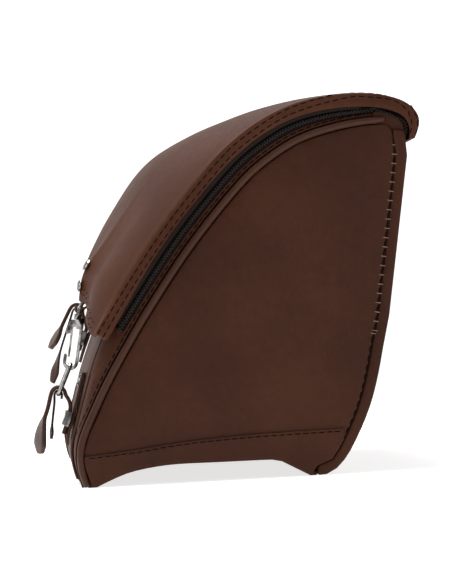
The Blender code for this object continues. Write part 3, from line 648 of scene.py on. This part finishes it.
# Zip ends: the gusset's leather turns up over the zip's front end under the lid's corner, and
# round the back top corner behind the zip, sewn into the same seam as the piping.
END_TURN = 2.4 * MM
END_TURN_THICK = 1.4 * MM
STRIP_OUT = 6.6 * MM
SEAM_IN = 3.4 * MM
SEAM_ROUND = 14 * MM
END_TURN_SINK = 1.2 * MM
END_TURN_BURIED = 0.8 * MM
END_TURN_BEGINS = 36
END_TURN_PAST_ZIP = 5
BURIED_ROWS = 4
BACK_TURN_BEGINS = 14
BACK_TURN_OFFS = np.linspace(-1 * MM, 9.2 * MM, BAND_POINTS)
BACK_TURN_LEAST = 0.4 * MM
BACK_TURN_ROUND = math.radians(100)


def outer_only(measured):
    """The measured points of a wall's outer face: those with no other just outside them."""
    kept = []
    for run, off in measured:
        over = measured[(np.abs(measured[:, 0] - run) < 4) & (measured[:, 1] > off + 1.4 * MM)]
        if not len(over[over[:, 1] < off + 3.4 * MM]):
            kept.append((run, off))
    return np.array(sorted(kept))


def front_line(end):
    """The front's outer edge beside one end's gusset, as places along the rim and outside it."""
    points = np.array([v.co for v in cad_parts["front_panel"].data.vertices])
    points = points[end * points[:, 1] > END_FACE - SEAM_IN - SEAM_ROUND - 2 * MM]
    points = np.unique(points[:, (0, 2)].round(5), axis=0)
    return outer_only(np.array([rim.measure(x, z) for x, z in points]))


def gusset_section(label, run):
    """The gusset's outer curve near a place along the rim, as depths and distances outside it."""
    points = np.array([v.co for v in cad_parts["side_strip_" + label].data.vertices])
    points = np.unique(points.round(5), axis=0)
    measured = np.array([rim.measure(x, z) for x, z in points[:, (0, 2)]])
    row = measured[np.argmin(np.abs(measured[:, 0] - run)), 0]
    beside = np.abs(measured[:, 0] - row) < 7
    section = []
    for depth, off in sorted(zip(END_FACE - np.abs(points[beside, 1]), measured[beside, 1])):
        if not section or off > section[-1][1] + 0.3 * MM:
            section.append((depth, off))
    return np.array(section)


def turned_band(name, rows, end, depths, buried=0.0):
    """A leather band through rows of places in X and Z, at these depths behind the end's face.

    Its first rows lie deeper, by as much as buried, so that it comes out from under the leather."""
    places = []
    for count, row in enumerate(rows):
        under = buried * max(1 - count / BURIED_ROWS, 0)
        places.append([(x, end * (END_FACE - depth - under), z) for (x, z), depth in zip(row, depths)])
    piece = skin(name, places)
    modify(piece, "SOLIDIFY", thickness=END_TURN_THICK, offset=0)
    modify(piece, "SUBSURF", levels=1, render_levels=1)
    apply_all(piece)
    return piece


front_edges = {}
for end, label in ((-1, "near"), (1, "far")):
    begin = zip_starts[label] - END_TURN_BEGINS
    front_edge = front_edges[label] = front_line(end)
    gusset_curve = gusset_section(label, begin)
    depths = gusset_curve[:, 0] + END_TURN_SINK
    shares = (gusset_curve[:, 1] - gusset_curve[0, 1]) / np.ptp(gusset_curve[:, 1])
    front_rows = []
    for run in range(begin, zip_starts[label] + END_TURN_PAST_ZIP, RIM_STEP):
        wide = np.interp(run, front_edge[:, 0], front_edge[:, 1])
        front_rows.append([rim.at(run, STRIP_OUT + (wide - STRIP_OUT) * share) for share in shares])
    front_turn = turned_band("zip_front_turn_" + label, front_rows, end, depths, END_TURN_BURIED)
    dress(front_turn, body_leather)
    back_rows = [[rim.at(run, off) for off in BACK_TURN_OFFS]
                 for run in range(rim.length - BACK_TURN_BEGINS, rim.length + 1, RIM_STEP)]
    back_rows += [[rim_fan(max(off, BACK_TURN_LEAST), turn) for off in BACK_TURN_OFFS]
                  for turn in np.linspace(0, BACK_TURN_ROUND, FAN_STEPS)[1:]]
    even = np.full(BAND_POINTS, END_TURN)
    dress(turned_band("zip_back_turn_" + label, back_rows, end, even), body_leather)


# Front seams: where the gusset meets the front, its edge is folded over a thin filler and stands
# a little proud, as a narrow rolled bead from the foot up to under the lid's corner.
BEAD_RADIUS = 1.05 * MM
BEAD_DEPTH = 17.4 * MM
BEAD_PROUD = 0.25 * MM
BEAD_STEP = 4
BEAD_BEGINS = 7
for end, label in ((-1, "near"), (1, "far")):
    bpy.ops.object.select_all(action="DESELECT")
    curve = bpy.data.curves.new("front_seam_" + label, "CURVE")
    curve.dimensions = "3D"
    curve.bevel_depth = BEAD_RADIUS
    curve.bevel_resolution = 3
    curve.use_fill_caps = True
    runs = np.arange(BEAD_BEGINS, zip_starts[label] + BEAD_STEP, BEAD_STEP)
    front_edge = front_edges[label]
    spline = curve.splines.new("POLY")
    spline.points.add(len(runs) - 1)
    for point, run in zip(spline.points, runs):
        x, z = rim.at(run, np.interp(run, front_edge[:, 0], front_edge[:, 1]) + BEAD_PROUD)
        point.co = (x, end * (END_FACE - BEAD_DEPTH), z, 1)
    bead = bpy.data.objects.new("front_seam_" + label, curve)
    bpy.context.scene.collection.objects.link(bead)
    only(bead)
    bpy.ops.object.convert(target="MESH")
    dress(bpy.context.object, welt_leather)


# Zip: two woven tapes with a closed row of moulded teeth between the body's rim and the lid's
# skirt, which is a strip of the lid's leather sewn to the upper tape, dressed near black as painted
# shade.
TOOTH_PITCH = 2.2 * MM
TOOTH_SIZE = (0.48 * MM, 0.95 * MM, 0.60 * MM)
TOOTH_ASIDE = 0.6 * MM
TOOTH_SUNK = 0.4 * MM
TEETH_CLOSE_IN = 1.5 * MM
TEETH_TURN = 1.2
CORE_GROWTH = 0.15 * MM
WAY_STEP = 0.8 * MM
ZIP_BLACK = (0.006, 0.0045, 0.004)
tape = Finish("zip_tape", Roughness=0.9, Specular_IOR_Level=0.05)
tape_place = tape.place()
weft = tape.node("TexWave", {"wave_type": "BANDS", "bands_direction": "DIAGONAL"},
                 {"Scale": 620, "Distortion": 1.2, "Vector": tape_place}, "Fac")
tape_cloud = tape.noise(240, 3, tape_place)
weave = weft * 0.6 + tape_cloud * 0.4
tape.set("Base Color", tape.mix(weave, ZIP_BLACK, (0.022, 0.017, 0.015)))
tape.set("Normal", tape.bump(weft, 0.12 * MM))
teeth_finish = Finish("zip_teeth", Roughness=0.38, Specular_IOR_Level=0.3)
tooth_cloud = teeth_finish.noise(700, 2)
teeth_finish.set("Base Color", teeth_finish.mix(tooth_cloud, ZIP_BLACK, (0.026, 0.019, 0.016)))
teeth_finish.set("Normal", teeth_finish.bump(tooth_cloud, 0.06 * MM))


def pod(segments=8, rings=6):
    """Points and faces of a unit pod, made from a sphere and squared a little along X."""
    bpy.ops.object.select_all(action="DESELECT")
    bpy.ops.mesh.primitive_uv_sphere_add(segments=segments, ring_count=rings, radius=1)
    ball = bpy.context.object
    points = np.array([vertex.co for vertex in ball.data.vertices])[:, (2, 0, 1)]
    points[:, 0] = np.sign(points[:, 0]) * np.abs(points[:, 0]) ** 0.7
    faces = [tuple(face.vertices) for face in ball.data.polygons]
    bpy.data.objects.remove(ball)
    return points, faces


POD = pod()


def pods(name, seats, size):
    """One piece of many pods: each seat is a place, the way along it and the way it faces."""
    points, faces = POD
    everything, polygons = [], []
    for place, along, facing in seats:
        along = Vector(along).normalized()
        facing = (Vector(facing) - along * Vector(facing).dot(along)).normalized()
        axes = np.array((along, facing.cross(along), facing))
        start = len(everything) * len(points)
        everything.append((points * np.array(size)) @ axes + np.array(place))
        polygons += [tuple(start + corner for corner in face) for face in faces]
    data = bpy.data.meshes.new(name)
    data.from_pydata(np.vstack(everything).tolist(), [], polygons)
    piece = bpy.data.objects.new(name, data)
    bpy.context.scene.collection.objects.link(piece)
    return piece


def path_of(line, pitch):
    """Places at a pitch along a line in X and Z, and the way along it at each."""
    line = np.array(line)
    run = np.concatenate(([0], np.cumsum(np.linalg.norm(np.diff(line, axis=0), axis=1))))
    places = np.arange(pitch / 2, run[-1], pitch)
    both = [np.stack([np.interp(places + step, run, column) for column in line.T], axis=-1)
            for step in (-WAY_STEP, 0, WAY_STEP)]
    return [(here, after - before) for before, here, after in zip(*both)]


for end, label in ((-1, "near"), (1, "far")):
    coil_low, coil_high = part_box("zip_coil_" + label)
    coil_face = coil_low[1] if end < 0 else coil_high[1]
    runs, low, high = span_along("zip_coil_" + label)
    middle = [rim.at(run, (a + b) / 2) for run, a, b in zip(runs, low, high)]
    last = (low[-1] + high[-1]) / 2
    turns = np.linspace(0, TEETH_TURN, FAN_STEPS)[1:]
    middle += [rim_fan(last - TEETH_CLOSE_IN * turn, turn) for turn in turns]
    seats = []
    for count, (place, way) in enumerate(path_of(middle, TOOTH_PITCH / 2)):
        along = Vector((way[0], 0, way[1])).normalized()
        side = Vector((-along.z, 0, along.x)) * (TOOTH_ASIDE if count % 2 else -TOOTH_ASIDE)
        seat = Vector((place[0], coil_face - end * TOOTH_SUNK, place[1])) + side
        seats.append((seat, along, (0, end, 0)))
    dress(pods("zip_teeth_" + label, seats, TOOTH_SIZE), teeth_finish, smooth=60)
    core = round_copy("zip_coil_" + label, "zip_core_" + label, CORE_GROWTH)
    dress(core, tape, nodes=["zip_coil_" + label])
    side_tape = soft_copy("zip_tape_" + label, "tape_" + label)
    dress(side_tape, tape, nodes=["zip_tape_" + label])
    skirt = soft_copy("zip_skirt_" + label, "skirt_" + label)
    # The skirt is dressed in the near-black leather: painted shade under the lid's edge.
    dress(skirt, painted_shade_leather, nodes=["zip_skirt_" + label])


# Stitching: waxed brown thread in rows along the lid's edge, the gusset and the base trim, and
# whipped over the seam of each end with the back; where it lies across the edge it is painted paler, a
# painted highlight.
thread = Finish("thread", Roughness=0.8, Specular_IOR_Level=0.05)
twist = thread.noise(1500, 2)
thread.set("Base Color", thread.mix(twist, (0.0035, 0.0016, 0.0012), (0.011, 0.0050, 0.0036)))
thread.set("Normal", thread.bump(twist, 0.05 * MM))
# Painted highlight: the whip stitches are the same brown thread, coloured paler for their glints.
glint_painted_thread = Finish("glint_painted_thread", Roughness=0.7, Specular_IOR_Level=0.1)
pale_twist = glint_painted_thread.noise(1500, 2)
glint_painted_thread.set("Base Color", glint_painted_thread.mix(pale_twist, (0.12, 0.070, 0.050), (0.26, 0.18, 0.135)))
glint_painted_thread.set("Normal", glint_painted_thread.bump(pale_twist, 0.05 * MM))
STITCH = (2.45 * MM, 0.52 * MM, 0.36 * MM)
STITCH_SUNK = 0.1 * MM
STITCH_PITCH = 6.3 * MM
LID_ROWS = (21.2 * MM, 25.4 * MM)
CURL_BEGINS = 88
CURL_RUN = 24
CURL_IN = 0.22 * MM
CURL_FAN_IN = 3.2 * MM
HEM_ROWS = (6 * MM, 10 * MM)
HEM_PITCH = 6 * MM
HEM_REACH = 176 * MM
GUSSET_ROW = 8.3 * MM
GUSSET_PITCH = 6.0 * MM
TRIM_ROW = 1.9 * MM
TRIM_PITCH = 5.6 * MM
WHIP_PITCH = 6.6 * MM
WHIP_LOW = 98 * MM
WHIP_CROSSED = 235 * MM
WHIP_SLANT = 0.5
WHIP_IN = 0.2 * MM
WHIP_PROUD = 0.25 * MM
SEAM_STITCH = (2.3 * MM, 0.75 * MM, 0.6 * MM)
WHIP_STITCH = (2.1 * MM, 0.40 * MM, 0.40 * MM)
RAY_FROM = 0.3
bpy.context.view_layer.update()
graph = bpy.context.evaluated_depsgraph_get()
skins = {name: BVHTree.FromObject(bpy.data.objects[name], graph) for name in (
    "lid_shell", "gusset_near", "gusset_far", "end_leather_near", "end_leather_far",
    "base_trim_leather_near", "base_trim_leather_far", "front_leather", "back_panel_leather")}


def laid(surface, line, end, pitch=STITCH_PITCH, least=0.12, sink=STITCH_SUNK):
    """Stitch seats along a line in X and Z, where a ray along Y from this end meets the leather."""
    seats = []
    for here, way in path_of(line, pitch):
        start = Vector((here[0], end * RAY_FROM, here[1]))
        hit, normal = skins[surface].ray_cast(start, Vector((0, -end, 0)))[:2]
        if hit is None or end * hit.y < least:
            continue
        along = Vector((way[0], 0, way[1]))
        seats.append((hit - normal * sink, along - normal * along.dot(normal), normal))
    return seats


def curl(off):
    """A row round the lid's edge, from the hem to the top back corner and down behind it."""
    row = [rim.at(run, off) for run in range(CURL_BEGINS, rim.length - CURL_RUN)]
    for run in range(rim.length - CURL_RUN, rim.length + 1):
        row.append(rim.at(run, off - (run - rim.length + CURL_RUN) * CURL_IN))
    last = off - CURL_RUN * CURL_IN
    return row + [rim_fan(last - CURL_FAN_IN * turn, turn) for turn in np.linspace(0, 1.5, 14)[1:]]


lid_points = np.array([vertex.co for vertex in lid.data.vertices])
hem_places = []
for y in np.arange(-HEM_REACH, HEM_REACH + MM, HEM_PITCH):
    column = lid_points[np.abs(lid_points[:, 1] - y) < 5 * MM]
    hem_places.append((y, column[column[:, 0] < 0][:, 2].min()))
seats = []
for rise in HEM_ROWS:
    for y, low in hem_places:
        hit, normal = skins["lid_shell"].ray_cast(Vector((-0.4, y, low + rise)), Vector((1, 0, 0)))[:2]
        if hit is not None and hit.x < 0:
            seats.append((hit - normal * STITCH_SUNK, Vector((0, 1, 0)), normal))
for end, label in ((-1, "near"), (1, "far")):
    for off in LID_ROWS:
        seats += laid("lid_shell", curl(off), end)
dress(pods("lid_stitches", seats, STITCH), thread, smooth=60)
for end, label in ((-1, "near"), (1, "far")):
    row = [rim.at(run, GUSSET_ROW) for run in range(2, rim.length - 20)]
    seats = laid("gusset_" + label, row, end, GUSSET_PITCH, sink=0.0)
    trim = bpy.data.objects["base_trim_leather_" + label]
    trim_points = np.array([vertex.co for vertex in trim.data.vertices])
    top = []
    for x in np.arange(trim_points[:, 0].min() + 3 * MM, trim_points[:, 0].max() - 2 * MM, 3 * MM):
        beside = trim_points[np.abs(trim_points[:, 0] - x) < 3.2 * MM]
        top.append((x, beside[:, 2].max() - TRIM_ROW))
    seats += laid("base_trim_leather_" + label, top, end, TRIM_PITCH)
    dress(pods("body_stitches_" + label, seats, STITCH), thread, smooth=60)

    outline = panel_outline("end_panel_" + label, end * END_FACE)
    corner = np.argmax(outline[:, 0] + outline[:, 1])
    foot = corner + np.argmin(outline[corner : corner + 60, 1])
    back_edge = dense(outline[corner : foot + 1], 1 * MM)
    dark, bars = [], []
    for count, (here, way) in enumerate(path_of(back_edge, WHIP_PITCH)):
        along = Vector((way[0], 0, way[1])).normalized()
        across = Vector((-along.z, 0, along.x))
        inner = Vector((here[0], 0, here[1])) - across * WHIP_IN
        start = Vector((inner.x - 1.2 * MM, end * RAY_FROM, inner.z))
        hit = skins["end_leather_" + label].ray_cast(start, Vector((0, -end, 0)))[0]
        if hit is None:
            hit = Vector((inner.x, end * (END_FACE + dome(inner.x, inner.z)), inner.z))
        seam = Vector((inner.x, hit.y, inner.z))
        dark.append((seam, along, (0, end, 0)))
        if here[1] > WHIP_LOW:
            slant = WHIP_SLANT if here[1] > WHIP_CROSSED else 0.0
            spot = seam + Vector((0, end * WHIP_PROUD, 0)) + along * 2.0 * MM
            bars.append((spot, across + along * slant, (0, end, 0)))
            if slant:
                bars.append((spot, across - along * slant, (0, end, 0)))
    dress(pods("back_seam_" + label, dark, SEAM_STITCH), thread, smooth=60)
    dress(pods("whip_stitches_" + label, bars, WHIP_STITCH), glint_painted_thread, smooth=60)


# Straps and tabs: belts of stiffer leather with dyed, burnished edges, and a short tab riveted
# under the lid's hem for each hook.
STRAP_DARK, STRAP_LIGHT = (0.034, 0.0120, 0.0062), (0.060, 0.0250, 0.0150)
strap_leather = leather("strap_leather", STRAP_DARK, STRAP_LIGHT, 0.42)
for label in ("near", "far"):
    for node in ("body_strap", "base_tab", "pull_tab", "lid_tab"):
        piece = soft_copy(node + "_" + label, node + "_leather_" + label)
        dress(piece, strap_leather, nodes=[node + "_" + label])
dress(soft_copy("zip_tape_front", "tape_front"), tape, nodes=["zip_tape_front"])


# Hardware: polished chrome hooks with thumb levers, round wire frames, flat keepers and domed
# rivets, with soft edges from tumbling and faint wiping marks in the gloss. Their colour holds a painted
# reflection: paler where a face looks up and in noise bands, darker elsewhere.
EDGE_ROUND = 0.35 * MM
WIRE_GROWTH = 0.25 * MM
chrome = Finish("chrome", Metallic=1.0)
chrome_place = chrome.place()
wipe_and_painted_reflection = chrome.noise(170, 3, chrome_place)
facing = chrome.node("Attribute", {"attribute_name": "up"}, {}, "Fac")
# Painted reflection: the colour is paler where a face looks up, and the noise adds reflected bands.
painted_reflection = (facing * 0.35 + wipe_and_painted_reflection * 0.9).clamped(0.30, 0.72)
speck = chrome.noise(1400, 2, chrome_place)
chrome.set("Base Color", chrome.mix(painted_reflection, (0.055, 0.048, 0.043), (0.62, 0.60, 0.58)))
chrome.set("Roughness", wipe_and_painted_reflection.clamped(0.3, 0.75) * 0.10 + speck * 0.05 + 0.09)
chrome.set("Normal", chrome.bump(speck, 0.02 * MM, 0.5))


def edged_copy(node, name, width):
    """A copy with its edges rounded by this width."""
    piece = copy_of(node, name, square=False)
    modify(piece, "BEVEL", width=width, segments=3, angle_limit=math.radians(32))
    apply_all(piece)
    return piece


def polish(piece, node, body):
    """Dresses a chrome piece, and notes how far each corner of its faces looks up, for the painted
    reflection.
    """
    dress(piece, chrome, body, [node])
    up = [corner.vector.z for corner in piece.data.corner_normals]
    piece.data.attributes.new("up", "FLOAT", "CORNER").data.foreach_set("value", up)


for name in list(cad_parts):
    body = "bag"
    if name.startswith("hook_lever"):
        body = "lever_near" if name.endswith("near") else "lever_far"
    if name.startswith(("snap_hook", "hook_lever", "keeper")):
        polish(edged_copy(name, name + "_chrome", EDGE_ROUND), name, body)
    elif name.startswith("buckle"):
        polish(round_copy(name, name + "_chrome", WIRE_GROWTH), name, body)
    elif name.startswith(("base_rivet", "lid_rivet")):
        cap = soft_copy(name, name + "_chrome", sharp=50)
        if name.startswith("lid_rivet"):
            middle = (Vector(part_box(name)[0]) + Vector(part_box(name)[1])) / 2
            cap.data.transform(Matrix.Translation(fold(*middle)))
        polish(cap, name, body)
